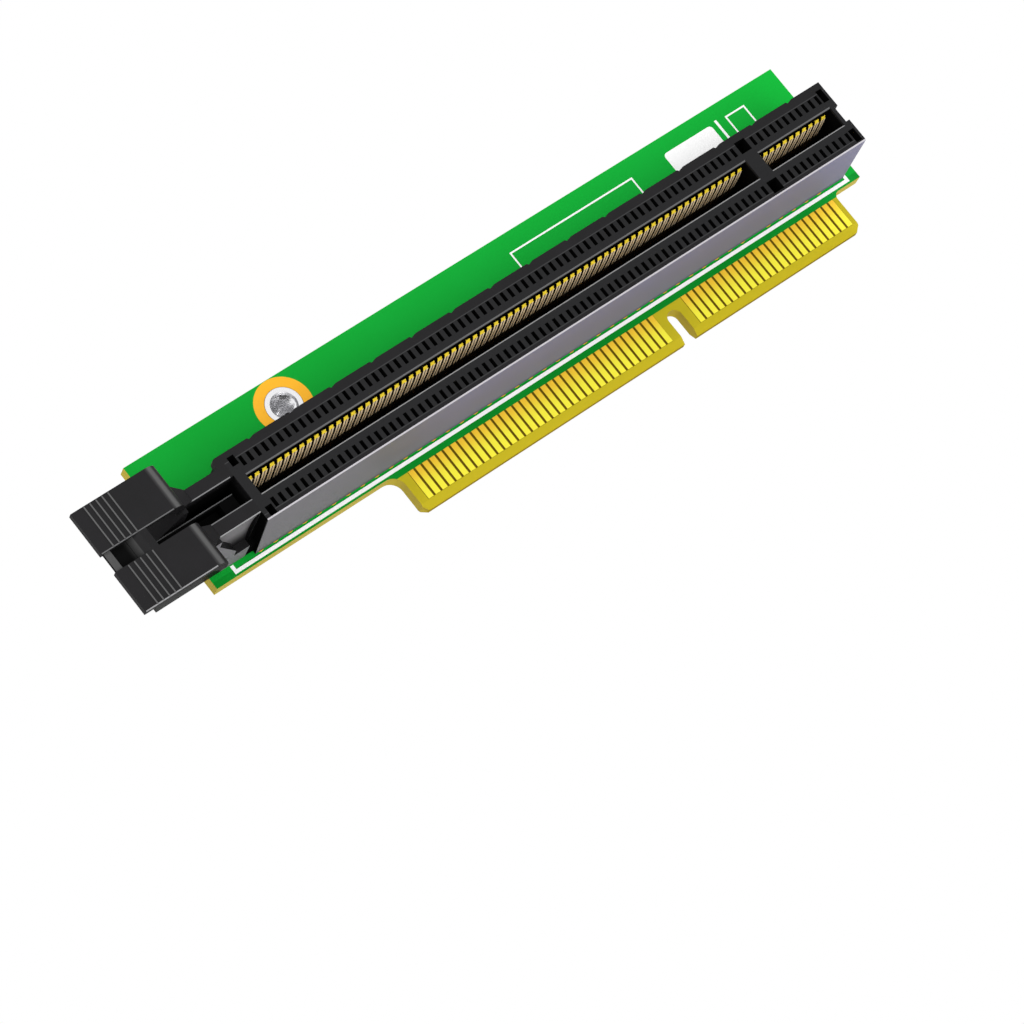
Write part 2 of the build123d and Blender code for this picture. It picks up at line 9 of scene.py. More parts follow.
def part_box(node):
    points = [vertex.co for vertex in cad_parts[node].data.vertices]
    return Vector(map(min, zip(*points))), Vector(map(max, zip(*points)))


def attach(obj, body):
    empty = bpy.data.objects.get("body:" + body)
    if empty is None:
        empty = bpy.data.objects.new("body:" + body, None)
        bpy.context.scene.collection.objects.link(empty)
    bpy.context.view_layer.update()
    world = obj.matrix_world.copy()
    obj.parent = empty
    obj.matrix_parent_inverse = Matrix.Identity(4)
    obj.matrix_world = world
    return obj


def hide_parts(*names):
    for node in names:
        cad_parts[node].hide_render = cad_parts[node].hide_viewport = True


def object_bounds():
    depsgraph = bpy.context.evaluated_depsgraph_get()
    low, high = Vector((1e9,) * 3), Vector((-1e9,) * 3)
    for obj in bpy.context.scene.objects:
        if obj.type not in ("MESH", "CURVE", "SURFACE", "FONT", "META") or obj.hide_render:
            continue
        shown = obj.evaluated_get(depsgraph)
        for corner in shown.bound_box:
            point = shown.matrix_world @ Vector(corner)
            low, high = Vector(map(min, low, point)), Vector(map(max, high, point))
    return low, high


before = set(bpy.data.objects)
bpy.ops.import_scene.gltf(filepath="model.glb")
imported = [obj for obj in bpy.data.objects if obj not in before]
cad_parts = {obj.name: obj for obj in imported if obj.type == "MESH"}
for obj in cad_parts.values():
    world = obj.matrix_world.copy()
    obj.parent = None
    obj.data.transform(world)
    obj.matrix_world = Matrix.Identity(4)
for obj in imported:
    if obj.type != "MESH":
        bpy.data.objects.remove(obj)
cad_low, cad_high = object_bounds()

MM = 0.001

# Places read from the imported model
board_low, board_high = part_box("circuit_board")
housing_low, housing_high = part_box("slot_housing")
left_fingers_low, left_fingers_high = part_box("front_fingers_long_block")
right_fingers_low, right_fingers_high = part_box("front_fingers_short_block")
short_low, short_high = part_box("upper_contacts_short_group")
long_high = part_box("upper_contacts_long_group")[1]
under_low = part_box("lower_contacts_long_group")[0]
standoff_low, standoff_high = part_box("threaded_standoff")
solder_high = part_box("solder_joints_upper_outer")[1]
latch_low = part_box("retention_latch")[0]

FRONT = board_low.y
BACK = board_high.y
MIDDLE = (FRONT + BACK) / 2
HOUSING_FACE = housing_low.y
LATCH_FACE = latch_low.y
LATCH_LEFT = latch_low.x
SLOT_Z = (under_low.z + long_high.z) / 2

# Contacts, numbered from the +x end: odd numbers have their tails in the inner rows
CONTACT_W = 0.5 * MM
SHORT_COUNT = 11
LONG_COUNT = 71
CONTACT_PITCH = (short_high.x - short_low.x - CONTACT_W) / (SHORT_COUNT - 1)
SHORT_XS = short_high.x - CONTACT_W / 2 - CONTACT_PITCH * np.arange(SHORT_COUNT)
LONG_XS = long_high.x - CONTACT_W / 2 - CONTACT_PITCH * np.arange(LONG_COUNT)
ALL_XS = np.concatenate([SHORT_XS, LONG_XS])
INNER_ROW = 1.25 * MM
OUTER_ROW = 3.25 * MM

# Parts of the housing, from its ends and by offset from the slot's centreline
FORK_LENGTH = 5.8 * MM
ARM_LENGTH = 6.45 * MM
END_SLOPE = 1.15 * MM
LEFT_LEAN = 1.1 * MM
WALL_LOWER = -4.05 * MM
LEDGE = -3.45 * MM
ARM_FACE = -2.92 * MM
WINDOWS = 3.9 * MM
INNER_BAND = 3.45 * MM
MOUTH_HALF = 1.25 * MM
ARM_END = housing_low.x + FORK_LENGTH
HOUSING_LEFT = ARM_END + ARM_LENGTH
HOUSING_RIGHT = housing_high.x - END_SLOPE

# Camera of the photograph's upper view
CAMERA_PLACE = Vector((-227.95, -389.2, -84.95)) * MM
CAMERA_RIGHT = Vector((0.74835, -0.25355, -0.61293))
CAMERA_UP = Vector((0.49206, -0.40744, 0.76933))
CAMERA_LENS = 144.86
CAMERA_SENSOR = 36.0
CAMERA_NEAR = 0.01
CAMERA_FAR = 10.0


# Mesh helpers

def add_piece(name, points, faces, material, slot, body="card", smooth=False):
    """A new piece from its points and faces, turned so that it encloses a positive volume."""
    mesh = bpy.data.meshes.new(name)
    mesh.from_pydata(np.asarray(points).reshape(-1, 3).tolist(), [], [tuple(f) for f in faces])
    mesh.polygons.foreach_set("use_smooth", [smooth] * len(mesh.polygons))
    mesh.update()
    if enclosed_volume(mesh) < 0:
        mesh.flip_normals()
    piece = bpy.data.objects.new(name, mesh)
    bpy.context.scene.collection.objects.link(piece)
    mesh.materials.append(material)
    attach(piece, body)
    return piece


def enclosed_volume(mesh):
    """The signed volume of a closed mesh: a sixth of a . (b x c), summed over its triangles."""
    mesh.calc_loop_triangles()
    places = np.empty(3 * len(mesh.vertices))
    mesh.vertices.foreach_get("co", places)
    corners = np.empty(3 * len(mesh.loop_triangles), dtype=np.int32)
    mesh.loop_triangles.foreach_get("vertices", corners)
    a, b, c = (places.reshape(-1, 3)[corners.reshape(-1, 3)[:, i]] for i in range(3))
    return np.einsum("ij,ij->", a, np.cross(b, c)) / 6


def grid_faces(rows, columns, wrap_rows=False, wrap_columns=False):
    """The quads of a grid of points, whose rows or columns may close on themselves."""
    i = np.arange(rows if wrap_rows else rows - 1)
    j = np.arange(columns if wrap_columns else columns - 1)
    i, j = (a.ravel() for a in np.meshgrid(i, j, indexing="ij"))
    i_next, j_next = (i + 1) % rows, (j + 1) % columns
    corners = [i * columns + j, i * columns + j_next, i_next * columns + j_next, i_next * columns + j]
    return [tuple(f) for f in np.stack(corners, 1).tolist()]


def tube_faces(rows, columns):
    """The quads of a tube of several rings of points, and a cap on each end."""
    first = tuple(reversed(range(columns)))
    last = tuple(range((rows - 1) * columns, rows * columns))
    return grid_faces(rows, columns, wrap_columns=True) + [first, last]


def repeated(points, faces, places):
    """Copies of one shape at several places, as one set of points and one list of faces."""
    points = np.asarray(points).reshape(-1, 3)
    all_points = points[None, :, :] + np.asarray(places)[:, None, :]
    shift = len(points) * np.arange(len(places))
    return all_points.reshape(-1, 3), [tuple(v + s for v in f) for s in shift.tolist() for f in faces]


def joined(shapes):
    """Several shapes, each as points and faces, as one set of points and one list of faces."""
    points, faces, start = [], [], 0
    for shape_points, shape_faces in shapes:
        shape_points = np.asarray(shape_points).reshape(-1, 3)
        points.append(shape_points)
        faces += [tuple(v + start for v in f) for f in shape_faces]
        start += len(shape_points)
    return np.concatenate(points), faces


def turned(radii, ys, sides):
    """Rings round the y axis: ring i has radius radii[i] and place ys[i], at sides equal angles."""
    angles = np.arange(sides) * 2 * np.pi / sides
    radii = np.asarray(radii, float).reshape(len(ys), -1) * np.ones(sides)
    ys = np.asarray(ys, float)[:, None] * np.ones(sides)
    return np.stack([radii * np.cos(angles), ys, radii * np.sin(angles)], -1)


def at_depth(outline, y):
    """Points (x, y, z) from an outline of (x, z) points, all at one y."""
    return np.stack([outline[:, 0], np.full(len(outline), y), outline[:, 1]], -1)


def rectangle(xs, zs):
    """The four corners of a rectangle from its two x and its two z, in millimetres."""
    return np.array([(xs[0], zs[0]), (xs[1], zs[0]), (xs[1], zs[1]), (xs[0], zs[1])]) * MM


def flat_plate(outline, y, lift):
    """A thin plate square to y: an outline of (x, z) points at y and again at y + lift."""
    return np.stack([at_depth(outline, y), at_depth(outline, y + lift)]), tube_faces(2, len(outline))


def flat_line(path, width, y, lift, closed=False):
    """A thin line on a face of the board, along a path of (x, z) points.

    Each side stands off by half the width times (n1 + n2) / (1 + n1 . n2), where n1 and n2
    are the normals of the two runs that meet at the point."""
    path = np.asarray(path, float)
    runs = np.roll(path, -1, 0) - path
    after = np.stack([-runs[:, 1], runs[:, 0]], 1) / np.linalg.norm(runs, axis=1, keepdims=True)
    before = np.roll(after, 1, 0)
    if not closed:
        before[0], after[-1] = after[0], before[-1]
    side = (before + after) / (1 + np.sum(before * after, 1, keepdims=True)) * width / 2
    left, right = path + side, path - side
    corners = [(left, y), (right, y), (right, y + lift), (left, y + lift)]
    points = np.stack([at_depth(outline, place) for outline, place in corners], 1)
    if closed:
        return points, grid_faces(len(path), 4, wrap_rows=True, wrap_columns=True)
    return points, tube_faces(len(path), 4)


# Shader helpers

def linear(red, green, blue):
    """A colour given in display values from 0 to 255, as the shader's linear values."""
    c = np.array([red, green, blue]) / 255
    low, high = c / 12.92, ((c + 0.055) / 1.055) ** 2.4
    return (*np.where(c < 0.04045, low, high).tolist(), 1.0)


def add_node(tree, kind, values=None, **settings):
    """A node with its settings and its unlinked input values."""
    node = tree.nodes.new(kind)
    for key, value in settings.items():
        setattr(node, key, value)
    for key, value in (values or {}).items():
        node.inputs[key].default_value = value
    return node


def maths(tree, operation, *terms, clamp=False):
    """The output of one Math node, whose terms are numbers or other outputs."""
    node = add_node(tree, "ShaderNodeMath", operation=operation, use_clamp=clamp)
    for socket, term in zip(node.inputs, terms):
        if isinstance(term, (int, float)):
            socket.default_value = term
        else:
            tree.links.new(term, socket)
    return node.outputs[0]


def ramp(tree, value, low, high):
    """A smooth step of a value, from 0 at low to 1 at high, where high may be the lesser."""
    limits = {"From Min": low, "From Max": high}
    node = add_node(tree, "ShaderNodeMapRange", limits, interpolation_type="SMOOTHSTEP")
    tree.links.new(value, node.inputs["Value"])
    return node.outputs["Result"]


def above(tree, value, limit, soft=0.02 * MM):
    """A mask that is 1 where a value is over a limit."""
    return ramp(tree, value, limit - soft, limit + soft)


def below(tree, value, limit, soft=0.02 * MM):
    """A mask that is 1 where a value is under a limit."""
    return ramp(tree, value, limit + soft, limit - soft)


def together(tree, *masks):
    """A mask that is 1 where every one of several masks is."""
    return reduce(lambda one, other: maths(tree, "MULTIPLY", one, other), masks)


def either(tree, *masks):
    """A mask that is 1 where any one of several masks is."""
    return reduce(lambda one, other: maths(tree, "MAXIMUM", one, other), masks)


def between(tree, value, low, high):
    """A mask that is 1 where a value lies between two limits."""
    return together(tree, above(tree, value, low), below(tree, value, high))


def elsewhere(tree, mask):
    """A mask that is 1 where another is 0."""
    return maths(tree, "SUBTRACT", 1.0, mask)


def mixed(tree, factor, first, second):
    """A mix of two colours, each a linear value or another output."""
    node = add_node(tree, "ShaderNodeMix", data_type="RGBA")
    tree.links.new(factor, node.inputs["Factor"])
    for name, colour in (("A", first), ("B", second)):
        socket = next(s for s in node.inputs if s.name == name and s.type == "RGBA")
        if isinstance(colour, tuple):
            socket.default_value = colour
        else:
            tree.links.new(colour, socket)
    return next(s for s in node.outputs if s.type == "RGBA")


def place_axes(tree):
    """The x, y and z of a point on the piece."""
    place = add_node(tree, "ShaderNodeTexCoord")
    split = add_node(tree, "ShaderNodeSeparateXYZ")
    tree.links.new(place.outputs["Object"], split.inputs[0])
    return split.outputs


def new_group(name, inputs, outputs):
    """An empty shader group with its start and end.

    Each input is given as (name, kind, value), and each output as (name, kind)."""
    group = bpy.data.node_groups.new(name, "ShaderNodeTree")
    for label, kind, value in inputs:
        socket = group.interface.new_socket(label, in_out="INPUT", socket_type=kind)
        socket.default_value = value
    for label, kind in outputs:
        group.interface.new_socket(label, in_out="OUTPUT", socket_type=kind)
    return group, group.nodes.new("NodeGroupInput"), group.nodes.new("NodeGroupOutput")


def place_group(tree, group, **values):
    """A group placed in a material, with its own values."""
    node = add_node(tree, "ShaderNodeGroup", node_tree=group)
    for key, value in values.items():
        node.inputs[key.replace("_", " ").capitalize()].default_value = value
    return node


# Shader groups

# The share of a face's normal along an axis, where its mask starts and where it is full
FACING_STEP = (0.55, 0.95)
# A slanted face looks forward by about the cosine of 45 degrees, give or take a step
SLANT = 0.71
SLANT_STEP = (0.24, 0.04)
# A shoulder looks forward, and a little towards the +x end
SHOULDER_START = (0.04, 0.3)
SHOULDER_END = (0.66, 0.42)
SHOULDER_FORWARD = 0.5


def grain_group():
    """Moulded or printed grain: fine noise with broader clouds, as a height and a shade."""
    inputs = [("Scale", "NodeSocketFloat", 8000.0), ("Cloud scale", "NodeSocketFloat", 300.0)]
    outputs = [("Height", "NodeSocketFloat"), ("Shade", "NodeSocketFloat")]
    group, start, end = new_group("moulded grain", inputs, outputs)
    place = add_node(group, "ShaderNodeTexCoord")
    for socket, output, detail in (("Scale", "Height", 3.0), ("Cloud scale", "Shade", 4.0)):
        noise = add_node(group, "ShaderNodeTexNoise", {"Detail": detail, "Roughness": 0.6})
        group.links.new(place.outputs["Object"], noise.inputs["Vector"])
        group.links.new(start.outputs[socket], noise.inputs["Scale"])
        group.links.new(noise.outputs["Fac"], end.inputs[output])
    return group


def facing_group():
    """Masks by which way a face looks.

    Down is towards the card edge, End towards +x, Side towards either end, Front and Back are
    the board's faces, Slant is a chamfer and Shoulder the latch's rounded edge."""
    names = ("Down", "End", "Front", "Back", "Side", "Slant", "Shoulder")
    group, _, end = new_group("facing", [], [(name, "NodeSocketFloat") for name in names])
    place = add_node(group, "ShaderNodeTexCoord")
    split = add_node(group, "ShaderNodeSeparateXYZ")
    group.links.new(place.outputs["Normal"], split.inputs[0])
    x, y, z = split.outputs
    forward = maths(group, "MULTIPLY", y, -1.0)
    looks = {
        "Down": maths(group, "MULTIPLY", z, -1.0),
        "End": x,
        "Front": forward,
        "Back": y,
        "Side": maths(group, "ABSOLUTE", x),
    }
    for name, value in looks.items():
        group.links.new(ramp(group, value, *FACING_STEP), end.inputs[name])
    apart = maths(group, "ABSOLUTE", maths(group, "SUBTRACT", forward, SLANT))
    group.links.new(ramp(group, apart, *SLANT_STEP), end.inputs["Slant"])
    near = together(group, ramp(group, x, *SHOULDER_START), ramp(group, x, *SHOULDER_END))
    shoulder = together(group, near, above(group, forward, SHOULDER_FORWARD))
    group.links.new(shoulder, end.inputs["Shoulder"])
    return group


def edge_group():
    """Edges found by rounding the surface a little: a mask, and the rounded normal."""
    inputs = [("Radius", "NodeSocketFloat", 0.08 * MM), ("Gain", "NodeSocketFloat", 6.0)]
    outputs = [("Mask", "NodeSocketFloat"), ("Normal", "NodeSocketVector")]
    group, start, end = new_group("rounded edge", inputs, outputs)
    bevel = add_node(group, "ShaderNodeBevel", samples=6)
    flat = add_node(group, "ShaderNodeNewGeometry")
    dot = add_node(group, "ShaderNodeVectorMath", operation="DOT_PRODUCT")
    group.links.new(start.outputs["Radius"], bevel.inputs["Radius"])
    group.links.new(bevel.outputs["Normal"], dot.inputs[0])
    group.links.new(flat.outputs["Normal"], dot.inputs[1])
    bend = maths(group, "SUBTRACT", 1.0, dot.outputs["Value"])
    mask = maths(group, "MULTIPLY", bend, start.outputs["Gain"], clamp=True)
    group.links.new(mask, end.inputs["Mask"])
    group.links.new(bevel.outputs["Normal"], end.inputs["Normal"])
    return group


GRAIN = grain_group()
FACING = facing_group()
EDGE = edge_group()


# Materials

# Board: how far the dark gaps reach past the finger blocks, and where its clouds start and end
GAP_REACH = 0.05 * MM
GAP_FOOT = 0.02 * MM
CLOUDS = (0.35, 1.1)

# Gold: where its painted shade deepens it, above the lower and above the upper end of the fingers
WARM_START = 1.0 * MM
WARM_END = 0.2 * MM

# Housing: offsets from the slot's centreline
# Where a painted highlight line runs along each edge of the face's middle band
GLINT_BAND = (INNER_BAND - 0.08 * MM, INNER_BAND + 0.02 * MM)
WALL_TOP = LEDGE + 0.04 * MM
MOUTH_LIP = MOUTH_HALF + 0.3 * MM
FOOT_EDGE = WALL_LOWER + 0.3 * MM
SCOOP = (ARM_FACE - 0.1 * MM, -2.2 * MM)
CHANNEL = (-1.3 * MM, 1.95 * MM)
# Places along it: the painted shade on the foot of the fork's arm, the bowl of the scoop's painted
# highlight and the tint of the wall's painted sheen
FOOT_RIGHT = ARM_END + 3.2 * MM
BOWL_LEFT = (ARM_END, ARM_END + 2.5 * MM)
BOWL_RIGHT = (HOUSING_LEFT + LEFT_LEAN, HOUSING_LEFT - 1.0 * MM)
SHEEN_TINT = (-44 * MM, -30 * MM)
END_WALL = HOUSING_RIGHT - 0.6 * MM
# Heights over the board, and depths under the housing's face
FOOT_TOP = 3.6 * MM
BOWL_BOTTOM = (3.0 * MM, 6.5 * MM)
BOWL_TOP = (10.8 * MM, 9.0 * MM)
WINDOW_DEPTH = 0.05 * MM
MOUTH_SHADE = (0.12 * MM, 0.5 * MM)
CHANNEL_SHADE = (0.2 * MM, 2.0 * MM)
# How softly the middle of its face and the painted shade on its foot end
MIDDLE_SOFT = 0.1 * MM
FOOT_RIGHT_SOFT = 0.4 * MM
FOOT_TOP_SOFT = 0.3 * MM

# Latch: places along it, offsets from the slot's centreline and depths under its face
RIM_RIGHT = LATCH_LEFT + 1.15 * MM
POCKET_SLOPE = (LATCH_LEFT + 2.6 * MM, LATCH_LEFT + 4.6 * MM)
POCKET_RIGHT = ARM_END - 1.0 * MM
POCKET = (-1.0 * MM, 1.3 * MM)
RIDGE_DEPTH = 0.06 * MM
POCKET_DEPTH = 0.5 * MM
SHOULDER_DEPTH = 2.4 * MM
BLADE_DEPTH = 5.4 * MM

PLASTIC_SHINE = 0.08

# Springs: heights over the board between which their painted shade darkens them, and over which they are
# gold
SPRING_SHADE = (5.7 * MM, 5.1 * MM)
SPRING_TIP = 8.7 * MM

# Solder: the place of the painted grey reflection from the joint's middle, its radius and its full
# middle
REFLECTION_PLACE = (0.14 * MM, 0.0, 0.06 * MM)
REFLECTION_RADIUS = 0.38 * MM
REFLECTION_CORE = 0.3 * REFLECTION_RADIUS


def new_material(name, **values):
    """A material with its own Principled shader, and that shader's plain values."""
    material = bpy.data.materials.new(name)
    material.use_nodes = True
    tree = material.node_tree
    shader = tree.nodes["Principled BSDF"]
    for key, value in values.items():
        shader.inputs[key.replace("_", " ").title().replace("Ior", "IOR")].default_value = value
    return material, tree, shader


def add_bump(tree, shader, height, distance, normal=None):
    """Bump from a height, over a rounded normal if there is one."""
    bump = add_node(tree, "ShaderNodeBump", {"Strength": 1.0, "Distance": distance})
    tree.links.new(height, bump.inputs["Height"])
    if normal is not None:
        tree.links.new(normal, bump.inputs["Normal"])
    tree.links.new(bump.outputs["Normal"], shader.inputs["Normal"])


def mottled_material(name, dark, light, scale, cloud_scale, relief, **values):
    """A finish of two near shades mixed by the grain, which also gives its fine relief."""
    material, tree, shader = new_material(name, **values)
    grain = place_group(tree, GRAIN, scale=scale, cloud_scale=cloud_scale)
    colour = mixed(tree, grain.outputs["Shade"], linear(*dark), linear(*light))
    tree.links.new(colour, shader.inputs["Base Color"])
    add_bump(tree, shader, grain.outputs["Height"], relief)
    return material


def board_material():
    """Green solder mask above the fingers, with painted light and a painted shadow under the slot, bare
    laminate below and on every cut edge.
    """
    material, tree, shader = new_material("solder mask board", roughness=0.45, specular_ior_level=0.08)
    x, y, z = place_axes(tree)
    facing = place_group(tree, FACING).outputs
    grain = place_group(tree, GRAIN, scale=5000.0, cloud_scale=60.0)
    along = ramp(tree, x, board_low.x, board_high.x)

    # Painted light: the greens are a little lighter towards the +x end, and the back's greens are a
    # slightly darker copy of the front's.
    front = mixed(tree, along, linear(7, 150, 44), linear(9, 165, 50))
    # Painted shadow: the front is a darker green under the slot's lower wall, where the housing shades
    # it.
    painted_slot_shadow = below(tree, z, SLOT_Z + WALL_LOWER)
    front = mixed(tree, painted_slot_shadow, front, linear(2, 131, 34))
    back = mixed(tree, along, linear(9, 143, 43), linear(7, 155, 47))
    green = mixed(tree, above(tree, y, MIDDLE), front, back)
    green = mixed(tree, ramp(tree, grain.outputs["Shade"], *CLOUDS), green, linear(15, 163, 57))

    left = between(tree, x, left_fingers_low.x - GAP_REACH, left_fingers_high.x + GAP_REACH)
    right = between(tree, x, right_fingers_low.x - GAP_REACH, right_fingers_high.x + GAP_REACH)
    gaps = together(tree, either(tree, left, right), above(tree, z, left_fingers_low.z - GAP_FOOT))
    bare = mixed(tree, gaps, linear(192, 177, 34), linear(100, 80, 10))

    face = mixed(tree, above(tree, z, left_fingers_high.z), bare, green)
    laminate = mixed(tree, grain.outputs["Shade"], linear(184, 164, 46), linear(204, 183, 60))
    on_face = either(tree, facing["Front"], facing["Back"])
    tree.links.new(mixed(tree, on_face, laminate, face), shader.inputs["Base Color"])
    add_bump(tree, shader, grain.outputs["Height"], 0.002 * MM)
    return material


def gold_material():
    """Bright plated gold with painted shade: a little deeper near the solder mask on the slot's face,
    lighter behind, darker on its rounded edges.
    """
    material, tree, shader = new_material("gold plating", roughness=0.42, metallic=0.4)
    axes = place_axes(tree)
    y, z = axes["Y"], axes["Z"]
    # Painted shade: the front gold deepens towards the solder mask, and the back is a lighter copy.
    painted_gold_shade = ramp(tree, z, left_fingers_low.z + WARM_START, left_fingers_high.z + WARM_END)
    painted_gold_shade = together(tree, painted_gold_shade, below(tree, y, MIDDLE))
    bright = mixed(tree, painted_gold_shade, linear(255, 246, 60), linear(255, 202, 48))
    bright = mixed(tree, above(tree, y, MIDDLE), bright, linear(255, 253, 62))
    edge = place_group(tree, EDGE, radius=0.04 * MM, gain=3.0)
    # Painted shade: the rounded edges are painted a darker gold.
    colour = mixed(tree, edge.outputs["Mask"], bright, linear(214, 184, 36))
    tree.links.new(colour, shader.inputs["Base Color"])
    grain = place_group(tree, GRAIN, scale=9000.0, cloud_scale=500.0)
    add_bump(tree, shader, grain.outputs["Height"], 0.001 * MM, edge.outputs["Normal"])
    return material


def moulded_plastic(name):
    """The start of a black plastic: its shader, its facing masks and its own mottled dark colour."""
    material, tree, shader = new_material(name, roughness=0.5)
    facing = place_group(tree, FACING)
    grain = place_group(tree, GRAIN, scale=6000.0, cloud_scale=250.0)
    edge = place_group(tree, EDGE, radius=0.09 * MM, gain=5.0)
    add_bump(tree, shader, grain.outputs["Height"], 0.003 * MM, edge.outputs["Normal"])
    dark = mixed(tree, grain.outputs["Shade"], linear(23, 23, 23), linear(31, 30, 32))
    return material, tree, shader, facing.outputs, dark


def shine_except(tree, shader, mask):
    """The shine of a plastic, which is gone where a mask is 1."""
    shine = maths(tree, "MULTIPLY", elsewhere(tree, mask), PLASTIC_SHINE)
    tree.links.new(shine, shader.inputs["Specular IOR Level"])


def housing_material():
    """Black plastic of the slot, with painted light: a painted grey sheen on the lower wall, painted
    black shade inside, and painted highlights on its moulded edges.
    """
    material, tree, shader, facing, colour = moulded_plastic("slot plastic")
    x, y, z = place_axes(tree)
    offset = maths(tree, "SUBTRACT", z, SLOT_Z)
    aside = maths(tree, "ABSOLUTE", offset)
    height = maths(tree, "SUBTRACT", FRONT, y)
    depth = maths(tree, "SUBTRACT", y, HOUSING_FACE)
    body = between(tree, x, HOUSING_LEFT, housing_high.x)
    arms = between(tree, x, ARM_END, HOUSING_LEFT + LEFT_LEAN)

    # The face, and a painted highlight line along each edge of its middle band
    middle = together(tree, facing["Front"], body, below(tree, aside, INNER_BAND, MIDDLE_SOFT))
    colour = mixed(tree, middle, colour, linear(29, 29, 30))
    painted_edge_glints = together(tree, facing["Front"], body, between(tree, aside, *GLINT_BAND))
    colour = mixed(tree, painted_edge_glints, colour, linear(52, 52, 53))

    # The lower wall's painted grey sheen, bluer towards the +x end, the painted shade on the foot at its
    # left and the painted highlight in the scooped arm
    painted_wall_sheen = together(tree, facing["Down"], below(tree, offset, WALL_TOP), above(tree, x, ARM_END))
    sheen_grey = mixed(tree, ramp(tree, x, *SHEEN_TINT), linear(120, 118, 123), linear(129, 127, 152))
    colour = mixed(tree, painted_wall_sheen, colour, sheen_grey)
    # Painted shade: the foot of the wall at the fork's end is painted dark.
    foot = below(tree, x, FOOT_RIGHT, FOOT_RIGHT_SOFT)
    foot = together(tree, foot, below(tree, height, FOOT_TOP, FOOT_TOP_SOFT))
    colour = mixed(tree, foot, colour, linear(24, 24, 24))
    # Painted highlight: the bowl of the scooped arm is painted light grey.
    scoop_highlight_bowl = together(tree, ramp(tree, height, *BOWL_BOTTOM), ramp(tree, height, *BOWL_TOP))
    scoop_highlight_bowl = together(tree, scoop_highlight_bowl, ramp(tree, x, *BOWL_LEFT), ramp(tree, x, *BOWL_RIGHT))
    painted_scoop_highlight = together(tree, facing["Down"], scoop_highlight_bowl, arms, between(tree, offset, *SCOOP))
    colour = mixed(tree, painted_scoop_highlight, colour, linear(132, 130, 133))

    # Painted highlights on the wall's chamfer and on the lips of the mouths, lighter on the lips towards
    # the card edge
    chamfer_highlight = together(tree, facing["Slant"], body, below(tree, offset, FOOT_EDGE))
    colour = mixed(tree, chamfer_highlight, colour, linear(186, 183, 188))
    lip_highlights = together(tree, facing["Slant"], body, below(tree, aside, MOUTH_LIP))
    lip_highlight_grey = mixed(tree, above(tree, offset, 0.0), linear(145, 145, 146), linear(96, 96, 97))
    colour = mixed(tree, lip_highlights, colour, lip_highlight_grey)

    # Painted shade: black inside the mouths, the windows and the channel, deepening with depth, and
    # behind the board's front face, with no shine there
    mouths = together(tree, body, ramp(tree, depth, *MOUTH_SHADE), below(tree, aside, WINDOWS))
    windows = together(tree, body, between(tree, aside, MOUTH_LIP, WINDOWS))
    windows = together(tree, windows, above(tree, depth, WINDOW_DEPTH))
    channel = together(tree, arms, between(tree, offset, *CHANNEL), ramp(tree, depth, *CHANNEL_SHADE))
    end_wall = together(tree, facing["End"], above(tree, x, END_WALL))
    painted_inside_shade = together(tree, either(tree, mouths, windows, channel), elsewhere(tree, end_wall))
    painted_inside_shade = either(tree, painted_inside_shade, above(tree, y, FRONT))
    colour = mixed(tree, painted_inside_shade, colour, linear(9, 9, 9))
    shine_except(tree, shader, painted_inside_shade)
    tree.links.new(colour, shader.inputs["Base Color"])
    return material


def latch_material():
    """Black plastic of the latch, with painted light: painted highlights on the ridge tops and the
    shoulders, a dark back, painted shade and light in the pocket between the pads, and painted black
    shade deep on the blade.
    """
    material, tree, shader, facing, colour = moulded_plastic("latch plastic")
    x, y, z = place_axes(tree)
    offset = maths(tree, "SUBTRACT", z, SLOT_Z)
    depth = maths(tree, "SUBTRACT", y, LATCH_FACE)

    middle = between(tree, offset, *POCKET)
    pocket = together(tree, middle, below(tree, x, POCKET_RIGHT), above(tree, depth, POCKET_DEPTH))
    # Painted shade and light in the pocket between the pads: black at its left, lighter up towards the
    # right.
    painted_pocket_light = mixed(tree, ramp(tree, x, *POCKET_SLOPE), linear(12, 12, 12), linear(70, 70, 70))
    colour = mixed(tree, together(tree, pocket, facing["Front"]), colour, painted_pocket_light)
    rim = together(tree, middle, facing["Front"], below(tree, x, RIM_RIGHT))
    colour = mixed(tree, rim, colour, linear(68, 68, 68))
    # Painted highlight on the shoulders' rounded edge.
    shoulder = together(tree, facing["Shoulder"], below(tree, depth, SHOULDER_DEPTH))
    colour = mixed(tree, shoulder, colour, linear(80, 80, 80))
    # Painted shade: black deep down on the blade.
    blade = above(tree, depth, BLADE_DEPTH)
    colour = mixed(tree, blade, colour, linear(12, 12, 12))
    # Painted highlight on the ridge tops.
    colour = mixed(tree, below(tree, depth, RIDGE_DEPTH), colour, linear(82, 82, 82))
    colour = mixed(tree, facing["Back"], colour, linear(29, 29, 29))
    # The painted shade in the pocket and on the blade has no shine.
    shine_except(tree, shader, either(tree, pocket, blade))
    tree.links.new(colour, shader.inputs["Base Color"])
    return material


